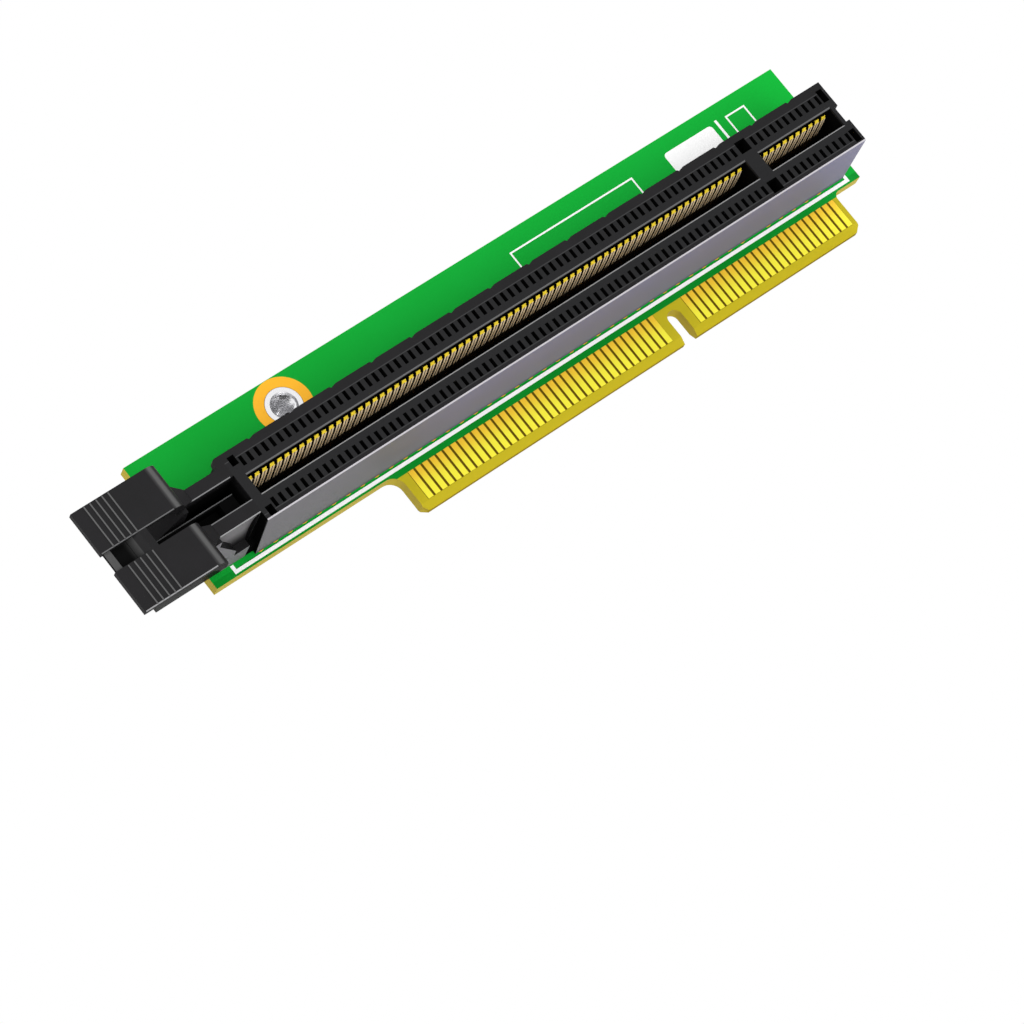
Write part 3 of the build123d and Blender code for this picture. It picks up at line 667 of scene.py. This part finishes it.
def spring_material():
    """Copper-coloured springs with bright gold tips, with painted shade low down and on their sides."""
    material, tree, shader = new_material("contact spring", roughness=0.5, specular_ior_level=0.3)
    height = maths(tree, "SUBTRACT", FRONT, place_axes(tree)["Y"])
    grain = place_group(tree, GRAIN, scale=7000.0, cloud_scale=900.0)
    colour = mixed(tree, grain.outputs["Shade"], linear(255, 226, 184), linear(255, 242, 212))
    # Painted shade: the springs darken to near black low down in the slot.
    colour = mixed(tree, ramp(tree, height, *SPRING_SHADE), colour, linear(16, 11, 6))
    colour = mixed(tree, above(tree, height, SPRING_TIP), colour, linear(255, 226, 60))
    # Painted shade on the sides of the prongs.
    side = place_group(tree, FACING).outputs["Side"]
    tree.links.new(mixed(tree, side, colour, linear(64, 42, 14)), shader.inputs["Base Color"])
    add_bump(tree, shader, grain.outputs["Height"], 0.001 * MM)
    return material


def solder_material():
    """Shiny solder with a painted grey reflection beside the middle, read from each joint's own places.
    """
    material, tree, shader = new_material("solder", roughness=0.36, metallic=0.3)
    place = add_node(tree, "ShaderNodeAttribute", attribute_name="joint_place")
    near = add_node(tree, "ShaderNodeVectorMath", {1: REFLECTION_PLACE}, operation="DISTANCE")
    tree.links.new(place.outputs["Vector"], near.inputs[0])
    # Painted reflection: a grey patch beside each joint's middle.
    painted_reflection = ramp(tree, near.outputs["Value"], REFLECTION_RADIUS, REFLECTION_CORE)
    grain = place_group(tree, GRAIN, scale=2500.0, cloud_scale=1500.0)
    bright = mixed(tree, grain.outputs["Shade"], linear(232, 229, 232), linear(250, 250, 250))
    tree.links.new(mixed(tree, painted_reflection, bright, linear(138, 124, 134)), shader.inputs["Base Color"])
    add_bump(tree, shader, grain.outputs["Height"], 0.006 * MM)
    return material


def steel_material():
    """Bright turned metal, with faint turning marks round its own axis."""
    material, tree, shader = new_material(
        "plated standoff", base_color=linear(236, 236, 238), roughness=0.22, metallic=0.9
    )
    place = add_node(tree, "ShaderNodeTexCoord")
    axis = (standoff_low + standoff_high) / 2
    centre = add_node(tree, "ShaderNodeMapping", {"Location": (-axis.x, 0, -axis.z)})
    rings = add_node(
        tree,
        "ShaderNodeTexWave",
        {"Scale": 2600.0, "Distortion": 1.5, "Detail": 2.0},
        wave_type="RINGS",
        rings_direction="Y",
    )
    tree.links.new(place.outputs["Object"], centre.inputs["Vector"])
    tree.links.new(centre.outputs["Vector"], rings.inputs["Vector"])
    add_bump(tree, shader, rings.outputs["Fac"], 0.001 * MM)
    return material


def edge_line_material():
    """Painted highlights along the plastic's moulded edges, as light as the line's own shade says."""
    material, tree, shader = new_material("painted edge highlight", roughness=0.4, specular_ior_level=0.2)
    shade = add_node(tree, "ShaderNodeAttribute", attribute_name="line_shade").outputs["Fac"]
    grain = place_group(tree, GRAIN, scale=6000.0, cloud_scale=900.0)
    black = (0.0, 0.0, 0.0, 1.0)
    dim = mixed(tree, shade, black, (0.8, 0.8, 0.816, 1.0))
    bright = mixed(tree, shade, black, (1.1, 1.1, 1.122, 1.0))
    tree.links.new(mixed(tree, grain.outputs["Shade"], dim, bright), shader.inputs["Base Color"])
    add_bump(tree, shader, grain.outputs["Height"], 0.001 * MM)
    return material


BOARD = board_material()
GOLD = gold_material()
HOUSING = housing_material()
LATCH = latch_material()
SPRING = spring_material()
SOLDER = solder_material()
STEEL = steel_material()
EDGE_LINE = edge_line_material()

# The orange-gold plating round the standoff, the white print, and the mask that dips by copper
RING = mottled_material(
    "ring plating",
    dark=(238, 168, 14),
    light=(243, 179, 20),
    scale=6000.0,
    cloud_scale=400.0,
    relief=0.0015 * MM,
    roughness=0.42,
    metallic=0.25,
)
PRINT = mottled_material(
    "white print",
    dark=(246, 246, 246),
    light=(254, 254, 254),
    scale=4000.0,
    cloud_scale=600.0,
    relief=0.002 * MM,
    roughness=0.6,
)
TRACE = mottled_material(
    "mask over clearance",
    dark=(3, 44, 17),
    light=(9, 66, 26),
    scale=4000.0,
    cloud_scale=300.0,
    relief=0.001 * MM,
    roughness=0.45,
    specular_ior_level=0.1,
)

node_materials = {
    "circuit_board": BOARD,
    "front_fingers_long_block": GOLD,
    "front_fingers_short_block": GOLD,
    "back_fingers_long_block": GOLD,
    "back_fingers_short_block": GOLD,
    "key_peg_slot_lining": GOLD,
    "latch_peg_slot_lining": GOLD,
    "standoff_pad_front": RING,
    "standoff_pad_back": RING,
    "slot_housing": HOUSING,
    "retention_latch": LATCH,
    "threaded_standoff": STEEL,
    "printed_outline": PRINT,
    "upper_contacts_short_group": SPRING,
    "upper_contacts_long_group": SPRING,
    "lower_contacts_short_group": SPRING,
    "lower_contacts_long_group": SPRING,
    "solder_joints_upper_outer": SOLDER,
    "solder_joints_upper_inner": SOLDER,
    "solder_joints_lower_inner": SOLDER,
    "solder_joints_lower_outer": SOLDER,
}
for name, material in node_materials.items():
    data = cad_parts[name].data
    data.materials.clear()
    data.materials.append(material)


# Contact springs

PRONG_W = 0.26 * MM
PRONG_T = 0.05 * MM
PRONG_APART = 0.4 * MM
PRONG_SHIFT = 0.12 * MM
HEAD_W = 0.56 * MM
HEAD_T = 0.1 * MM
CAVITY_FLOOR = 1.0 * MM

# Offset and height of the knee and of the points up the arm, in millimetres
SPRING_KNEE = (0.85, 2.3)
SPRING_LINE = [(0.84, 3.7), (0.74, 4.3), (0.9, 7.6), (1.03, 8.75), (1.17, 9.2)]


def spring_path(foot):
    """A spring's line in offset and height: from its foot, halfway in at the knee, then up its arm."""
    line = np.array(SPRING_LINE) * MM
    knee = ((foot + SPRING_KNEE[0] * MM) / 2, SPRING_KNEE[1] * MM)
    return np.vstack([(foot, CAVITY_FLOOR), knee, line])


def bent_strip(path, width, thickness, middle, side):
    """A flat strip along a path of offsets and heights: a rectangle square to the path at each point."""
    along = np.gradient(path, axis=0)
    along /= np.linalg.norm(along, axis=1, keepdims=True)
    across = np.stack([-along[:, 1], along[:, 0]], 1)
    sides = np.array([(-1, -1), (1, -1), (1, 1), (-1, 1)]) / 2
    spread = path[:, None, :] + across[:, None, :] * sides[None, :, 1:] * thickness
    x = middle + np.ones(len(path))[:, None] * sides[:, 0] * width
    points = np.stack([x, FRONT - spread[..., 1], SLOT_Z + side * spread[..., 0]], -1)
    return points, tube_faces(len(path), 4)


def one_spring(foot, side):
    """Two prongs side by side, joined by a head at the free end, a little off their middle."""
    path = spring_path(foot)
    middles = PRONG_SHIFT + np.array([-1, 1]) * PRONG_APART / 2
    prongs = [bent_strip(path[:-1], PRONG_W, PRONG_T, middle, side) for middle in middles]
    return joined(prongs + [bent_strip(path[-2:], HEAD_W, HEAD_T, 0.0, side)])


def spring_group(name, xs, first_number, side):
    """The springs of one group, with their feet in the inner row for odd numbers."""
    numbers = first_number + np.arange(len(xs))
    rows = []
    for foot, odd in ((INNER_ROW, 1), (OUTER_ROW, 0)):
        places = [(x, 0.0, 0.0) for x in xs[numbers % 2 == odd]]
        rows.append(repeated(*one_spring(foot, side), places))
    piece = add_piece(name + "_bent", *joined(rows), SPRING, "contact_spring")
    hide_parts(name)


for side, level in ((1, "upper"), (-1, "lower")):
    spring_group(f"{level}_contacts_short_group", SHORT_XS, 1, side)
    spring_group(f"{level}_contacts_long_group", LONG_XS, SHORT_COUNT + 1, side)


# Solder joints, their dark rings and the traces that leave them

JOINT_RADIUS = 0.68 * MM
JOINT_HEIGHT = solder_high.y - BACK
JOINT_SIDES = 10
JOINT_STEPS = [0.0, 0.3, 0.6, 0.85]
JOINT_POWER = 0.8
RING_INNER = JOINT_RADIUS - 0.02 * MM
RING_OUTER = 0.91 * MM
RING_SIDES = 16
LINE_LIFT = 0.012 * MM
LINE_W = 0.16 * MM

# Numbers of the contacts whose joint has a ring and a trace, by the offset of their row
RINGED = {
    OUTER_ROW: (48, 46, 42, 38, 34, 28, 24, 20, 14, 10, 8, 6),
    INNER_ROW: (45, 41, 37, 33, 31, 27, 23, 19, 17, 15, 11, 5),
    -INNER_ROW: (53, 47, 45, 43, 41, 39, 37, 25, 21, 19, 17, 11, 9, 7, 5),
    -OUTER_ROW: (52, 50, 48, 44, 42, 40, 38, 36, 32, 30, 28, 26, 22, 20, 18, 14, 12, 10, 8, 6, 4, 2),
}

# Runs of traces from a joint's middle, as millimetres towards the latch and up
TO_GAP = [(0.4, -0.5), (1.5, -1.4), (1.0, -1.9), (1.0, -2.12)]
TO_FINGER = [(0.05, -0.7), (0.05, -1.2), (0.5, -1.7), (0.5, -2.12)]
TO_NEXT_ROW = [(-0.05, -0.7), (0.1, -1.15), (0.5, -1.42), (0.66, -1.5)]
ROUND_THE_MIDDLE = [(0.45, -0.45), (0.95, -0.95), (0.95, -1.55), (0.45, -2.05)]


def solder_dome():
    """A dome of solder: radius R cos(a) and height H sin(a)^p, as a runs from the foot to the top."""
    rise = np.array(JOINT_STEPS) * np.pi / 2
    radii = JOINT_RADIUS * np.cos(rise)
    ys = BACK + JOINT_HEIGHT * np.sin(rise) ** JOINT_POWER
    return turned(radii, ys, JOINT_SIDES), tube_faces(len(JOINT_STEPS), JOINT_SIDES)


def solder_row(name, offset):
    """One row of joints, each with its own places kept in an attribute for the painted reflection."""
    first = 0 if abs(offset) == INNER_ROW else 1
    xs = ALL_XS[first::2]
    dome, faces = solder_dome()
    points, all_faces = repeated(dome, faces, [(x, 0.0, SLOT_Z + offset) for x in xs])
    piece = add_piece(name + "_domed", points, all_faces, SOLDER, "solder", smooth=True)
    own = dome.reshape(-1, 3) * (1, 0, 1)
    place = piece.data.attributes.new("joint_place", "FLOAT_VECTOR", "POINT")
    place.data.foreach_set("vector", np.tile(own, (len(xs), 1)).ravel())
    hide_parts(name)


def joint_rings():
    """The dark rings round the joints that have a trace: flat, and a little off the board."""
    radii = [[RING_INNER], [RING_INNER], [RING_OUTER], [RING_OUTER]]
    ys = [BACK, BACK + LINE_LIFT, BACK + LINE_LIFT, BACK]
    ring = turned(radii, ys, RING_SIDES)
    faces = grid_faces(len(ys), RING_SIDES, wrap_rows=True, wrap_columns=True)
    places = []
    for offset, numbers in RINGED.items():
        places += [(ALL_XS[number - 1], 0.0, SLOT_Z + offset) for number in numbers]
    add_piece("joint_rings", *repeated(ring, faces, places), TRACE, "solder_mask_board")


def trace_run(run, x, z):
    """One trace from a joint at x and z."""
    path = [(x - along * MM, z + up * MM) for along, up in run]
    return flat_line(path, LINE_W, BACK, LINE_LIFT)


def back_traces():
    """The traces behind: from the lowest row to the fingers, and between the rows."""
    runs = []
    for offset, numbers in RINGED.items():
        for number in numbers:
            if offset == -OUTER_ROW:
                run = TO_GAP if number % 4 else TO_FINGER
            else:
                run = ROUND_THE_MIDDLE if offset == INNER_ROW else TO_NEXT_ROW
            runs.append(trace_run(run, ALL_XS[number - 1], SLOT_Z + offset))
    add_piece("back_traces", *joined(runs), TRACE, "solder_mask_board")


solder_row("solder_joints_upper_outer", OUTER_ROW)
solder_row("solder_joints_upper_inner", INNER_ROW)
solder_row("solder_joints_lower_inner", -INNER_ROW)
solder_row("solder_joints_lower_outer", -OUTER_ROW)
joint_rings()
back_traces()


# Threaded standoff

STANDOFF_RADIUS = (standoff_high.x - standoff_low.x) / 2
STANDOFF_CHAMFER = 0.3 * MM
STANDOFF_SIDES = 64
COLLAR_RADIUS = 2.15 * MM
COLLAR_T = 0.05 * MM
THREAD_CREST = 1.25 * MM
THREAD_ROOT = 1.5 * MM
THREAD_MOUTH = 1.6 * MM
THREAD_PITCH = 0.5 * MM
THREAD_CHAMFER = 0.35 * MM
THREAD_STEPS = 8
SHARP_ANGLE = math.radians(30)


def standoff():
    """The standoff's whole skin as rings round its axis, closed on itself through the bore.

    In the bore the radius is the crest plus (root - crest) |2 t - 1|, where t is the fraction
    of a turn left over from y / pitch - angle / (2 pi), which draws a helical thread."""
    low, high = standoff_low.y, standoff_high.y
    seat = BACK + COLLAR_T
    turns = round((high - low - 2 * THREAD_CHAMFER) / THREAD_PITCH)
    bore = np.linspace(high - THREAD_CHAMFER, low + THREAD_CHAMFER, 1 + THREAD_STEPS * turns)
    fraction = (bore[:, None] / THREAD_PITCH - np.arange(STANDOFF_SIDES) / STANDOFF_SIDES) % 1
    thread = THREAD_CREST + (THREAD_ROOT - THREAD_CREST) * np.abs(2 * fraction - 1)
    # Radius and y of the outer skin's rings, from the bore's front mouth round to its back mouth
    skin = np.array([
        (THREAD_MOUTH, low),
        (COLLAR_RADIUS, low),
        (COLLAR_RADIUS, seat),
        (STANDOFF_RADIUS, seat),
        (STANDOFF_RADIUS, high - STANDOFF_CHAMFER),
        (STANDOFF_RADIUS - STANDOFF_CHAMFER, high),
        (THREAD_MOUTH, high),
    ])
    radii = np.concatenate([np.outer(skin[:, 0], np.ones(STANDOFF_SIDES)), thread])
    ys = np.concatenate([skin[:, 1], bore])
    axis = ((standoff_low.x + standoff_high.x) / 2, 0.0, (standoff_low.z + standoff_high.z) / 2)
    points = turned(radii, ys, STANDOFF_SIDES) + np.array(axis)
    faces = grid_faces(len(ys), STANDOFF_SIDES, wrap_rows=True, wrap_columns=True)
    piece = add_piece("threaded_standoff_turned", points, faces, STEEL, "plated_standoff", smooth=True)
    piece.data.set_sharp_from_angle(angle=SHARP_ANGLE)
    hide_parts("threaded_standoff")


standoff()


# Print and plating on the board's faces

PRINT_LIFT = -0.03 * MM
BACK_PRINT_LIFT = 0.01 * MM
FRAME_LINE_W = 0.2 * MM
BAR_W = 0.32 * MM

# Places in millimetres, as x and z
LABEL = ((-11.2, 7.0), (16.9, 19.3))
SQUARE = ((21.9, 24.7), (16.6, 19.6))
BAR = ((20.45, 15.4), (20.45, 19.9))
BLOCK = ((12.2, 19.6), (15.2, 19.7))
BLOCK_CORNER = 0.5
CORNER_POINTS = 6
TRIANGLE = ((-38.9, 18.7), (-40.1, 18.7), (-39.5, 19.7))

# The tails' plated rings, and how far their edges come out under the wall
SLIVER_RADIUS = 0.74 * MM
SLIVER_LIFT = 0.02 * MM
SLIVER_POINTS = 8
SLIVER_CHORD = OUTER_ROW + WALL_LOWER + 0.17 * MM


def print_frame(name, xs, zs):
    """A plain printed frame."""
    line = flat_line(rectangle(xs, zs), FRAME_LINE_W, FRONT, PRINT_LIFT, closed=True)
    add_piece(name, *line, PRINT, "white_print")


def print_bar():
    """A plain printed bar."""
    line = flat_line(np.array(BAR) * MM, BAR_W, FRONT, PRINT_LIFT)
    add_piece("mark_bar", *line, PRINT, "white_print")


def print_block():
    """A plain printed block: a rectangle whose corners are quarter circles."""
    turns = np.linspace(0, np.pi / 2, CORNER_POINTS)
    outline = []
    for quarter, (x, z) in enumerate(((1, 1), (0, 1), (0, 0), (1, 0))):
        centre = BLOCK[0][x] + BLOCK_CORNER * (1 - 2 * x), BLOCK[1][z] + BLOCK_CORNER * (1 - 2 * z)
        angles = turns + quarter * np.pi / 2
        outline.append(centre + BLOCK_CORNER * np.stack([np.cos(angles), np.sin(angles)], 1))
    plate = flat_plate(np.concatenate(outline) * MM, FRONT, PRINT_LIFT)
    add_piece("print_block", *plate, PRINT, "white_print")


def back_triangle():
    """A small plain printed triangle behind."""
    plate = flat_plate(np.array(TRIANGLE) * MM, BACK, BACK_PRINT_LIFT)
    add_piece("back_triangle", *plate, PRINT, "white_print")


def plating_slivers():
    """The edges of the tails' plated rings that show at the foot of the slot's lower wall.

    Each is the part of a disc under a chord, whose arc reaches acos(distance / radius) from
    straight down to either side."""
    reach = math.acos(-SLIVER_CHORD / SLIVER_RADIUS)
    angles = np.linspace(-reach, reach, SLIVER_POINTS) - np.pi / 2
    arc = SLIVER_RADIUS * np.stack([np.cos(angles), np.sin(angles)], 1)
    places = [(x, 0.0, SLOT_Z - OUTER_ROW) for x in ALL_XS[1::2]]
    plates = repeated(*flat_plate(arc, FRONT, -SLIVER_LIFT), places)
    add_piece("tail_plating_edges", *plates, RING, "gold_plating")


print_frame("label_frame", *LABEL)
print_frame("mark_square", *SQUARE)
print_bar()
print_block()
back_triangle()
plating_slivers()


# Painted highlight lines along moulded edges, the web behind the latch's pocket and its blade's thin
# wall

EDGE_LINE_W = 0.11 * MM
EDGE_LINE_LIFT = 0.006 * MM

# Places in millimetres: along x, by height over the board and by offset from the centreline
PAD_LEFT = LATCH_LEFT / MM
ARM_LEFT = ARM_END / MM
CHANNEL_RIGHT = HOUSING_LEFT / MM
ARM_TOP = 10.44
PAD_TOP = 14.0
BLADE_TOP = 8.3
WEB_XS = (PAD_LEFT + 0.8, PAD_LEFT + 3.9)
WEB_OFFSETS = (-1.3, 1.6)
WEB_TOP = PAD_TOP - 0.75
WEB_T = 0.35
RIB_XS = (ARM_LEFT + 0.55, ARM_LEFT + 4.15)
RIB_OFFSETS = (0.6, 0.9)
RIB_DEPTH = 4.0

# Each edge: its two ends, offset and height, the way of its side face, and its shade
CARD_EDGES = [
    (ARM_LEFT + 0.1, CHANNEL_RIGHT - 0.1, ARM_FACE / MM, ARM_TOP, -1, 0.25),
    (ARM_LEFT + 0.1, CHANNEL_RIGHT - 0.4, 1.9, ARM_TOP, -1, 0.17),
    (ARM_LEFT + 0.1, CHANNEL_RIGHT, -1.25, ARM_TOP, 1, 0.13),
]
LATCH_EDGES = [
    (PAD_LEFT + 0.1, PAD_LEFT + 9.3, -6.15, PAD_TOP, -1, 0.24),
    (PAD_LEFT + 0.1, PAD_LEFT + 9.3, 1.3, PAD_TOP, -1, 0.1),
    (PAD_LEFT + 6.4, CHANNEL_RIGHT - 0.5, 0.9, BLADE_TOP, 1, 0.1),
]


def edge_line(start, end, offset, height, way):
    """A thin closed bar over one straight edge, to carry a painted highlight: a strip of each face
    beside it, and the corner.
    """
    y, z = FRONT - height * MM, SLOT_Z + offset * MM
    outer_y, inner_y = y - EDGE_LINE_LIFT, y + EDGE_LINE_W
    outer_z, inner_z = z + way * EDGE_LINE_LIFT, z - way * EDGE_LINE_W
    section = [(outer_y, inner_z), (outer_y, outer_z), (inner_y, outer_z), (inner_y, inner_z)]
    return [[(x * MM, *corner) for corner in section] for x in (start, end)], tube_faces(2, 4)


def edge_lines(name, edges, slot, body):
    """All the painted highlight lines of one body, with each one's shade kept in an attribute."""
    points, faces = joined([edge_line(*edge[:5]) for edge in edges])
    piece = add_piece(name, points, faces, EDGE_LINE, slot, body)
    shades = np.repeat([edge[5] for edge in edges], len(points) // len(edges))
    piece.data.attributes.new("line_shade", "FLOAT", "POINT").data.foreach_set("value", shades)


def latch_plate(name, xs, offsets, height, thickness):
    """A plain plate of the latch, from a height over the board down."""
    outline = rectangle(xs, offsets) + (0.0, SLOT_Z)
    plate = flat_plate(outline, FRONT - height * MM, thickness * MM)
    add_piece(name, *plate, LATCH, "latch_plastic", "latch")


# Painted highlights: light strips over chosen edges of the housing and the latch.
edge_lines("housing_edge_lines", CARD_EDGES, "housing_plastic", "card")
edge_lines("latch_edge_lines", LATCH_EDGES, "latch_plastic", "latch")
# The web closes the hole between the pads with a sheet that carries the pocket's painted shade.
latch_plate("latch_pocket_floor", WEB_XS, WEB_OFFSETS, WEB_TOP, WEB_T)
latch_plate("latch_blade_rib", RIB_XS, RIB_OFFSETS, BLADE_TOP, RIB_DEPTH)


# Stage, light and camera

FLOOR_HALF = 2.0
FLOOR_GAP = 0.02 * MM
FLOOR_COLOUR = (0.88, 0.88, 0.88, 1)
WHITE = (1, 1, 1, 1)
ROOM_LIGHT = 0.56
ROOM_SEEN = 1.0
LAMP_SIZE = 0.5

# Each lamp: its name, its place in metres and its power in watts
LAMPS = [
    ("key lamp", (-0.35, -0.6, 0.45), 3.25),
    ("low lamp", (-0.1, -0.5, -0.25), 2.6),
    ("back lamp", (0.3, 0.6, 0.45), 3.4),
]


def make_floor():
    """A pale floor under the card edge, which is open to a camera or a lamp below it."""
    material = bpy.data.materials.new("pale floor")
    material.use_nodes = True
    tree = material.node_tree
    tree.nodes.clear()
    output = add_node(tree, "ShaderNodeOutputMaterial")
    white = add_node(tree, "ShaderNodeBsdfDiffuse", {"Color": FLOOR_COLOUR})
    clear = add_node(tree, "ShaderNodeBsdfTransparent")
    mix = add_node(tree, "ShaderNodeMixShader")
    side = add_node(tree, "ShaderNodeNewGeometry")
    path = add_node(tree, "ShaderNodeLightPath")
    through = either(tree, side.outputs["Backfacing"], path.outputs["Is Shadow Ray"])
    tree.links.new(through, mix.inputs["Fac"])
    tree.links.new(white.outputs[0], mix.inputs[1])
    tree.links.new(clear.outputs[0], mix.inputs[2])
    tree.links.new(mix.outputs[0], output.inputs["Surface"])
    mesh = bpy.data.meshes.new("floor")
    half, z = FLOOR_HALF, cad_low.z - FLOOR_GAP
    corners = [(-half, -half, z), (half, -half, z), (half, half, z), (-half, half, z)]
    mesh.from_pydata(corners, [], [(0, 1, 2, 3)])
    mesh.materials.append(material)
    floor = bpy.data.objects.new("floor", mesh)
    bpy.context.scene.collection.objects.link(floor)


def make_world():
    """A white room: full white where the camera or a gloss sees it, softer as light."""
    world = bpy.data.worlds.new("white room")
    bpy.context.scene.world = world
    world.use_nodes = True
    tree = world.node_tree
    tree.nodes.clear()
    output = add_node(tree, "ShaderNodeOutputWorld")
    path = add_node(tree, "ShaderNodeLightPath")
    rays = ("Is Camera Ray", "Is Transmission Ray", "Is Glossy Ray")
    seen = either(tree, *(path.outputs[name] for name in rays))
    soft = add_node(tree, "ShaderNodeBackground", {"Color": WHITE, "Strength": ROOM_LIGHT})
    full = add_node(tree, "ShaderNodeBackground", {"Color": WHITE, "Strength": ROOM_SEEN})
    mix = add_node(tree, "ShaderNodeMixShader")
    tree.links.new(seen, mix.inputs["Fac"])
    tree.links.new(soft.outputs[0], mix.inputs[1])
    tree.links.new(full.outputs[0], mix.inputs[2])
    tree.links.new(mix.outputs[0], output.inputs["Surface"])


def add_lamp(name, place, power):
    """A soft square lamp that looks at the middle of the part."""
    data = bpy.data.lights.new(name, "AREA")
    data.size = LAMP_SIZE
    data.energy = power
    lamp = bpy.data.objects.new(name, data)
    lamp.location = place
    lamp.rotation_mode = "QUATERNION"
    target = (cad_low + cad_high) / 2
    lamp.rotation_quaternion = (target - Vector(place)).to_track_quat("-Z", "Y")
    bpy.context.scene.collection.objects.link(lamp)


def make_camera():
    """The camera of the photograph's upper view."""
    data = bpy.data.cameras.new("camera")
    data.lens = CAMERA_LENS
    data.sensor_width = CAMERA_SENSOR
    data.clip_start, data.clip_end = CAMERA_NEAR, CAMERA_FAR
    camera = bpy.data.objects.new("camera", data)
    back = CAMERA_RIGHT.cross(CAMERA_UP)
    turn = Matrix((CAMERA_RIGHT, CAMERA_UP, back)).transposed().to_4x4()
    camera.matrix_world = Matrix.Translation(CAMERA_PLACE) @ turn
    bpy.context.scene.collection.objects.link(camera)
    bpy.context.scene.camera = camera


make_floor()
make_world()
for lamp in LAMPS:
    add_lamp(*lamp)
make_camera()
bpy.context.scene.view_settings.view_transform = "Standard"
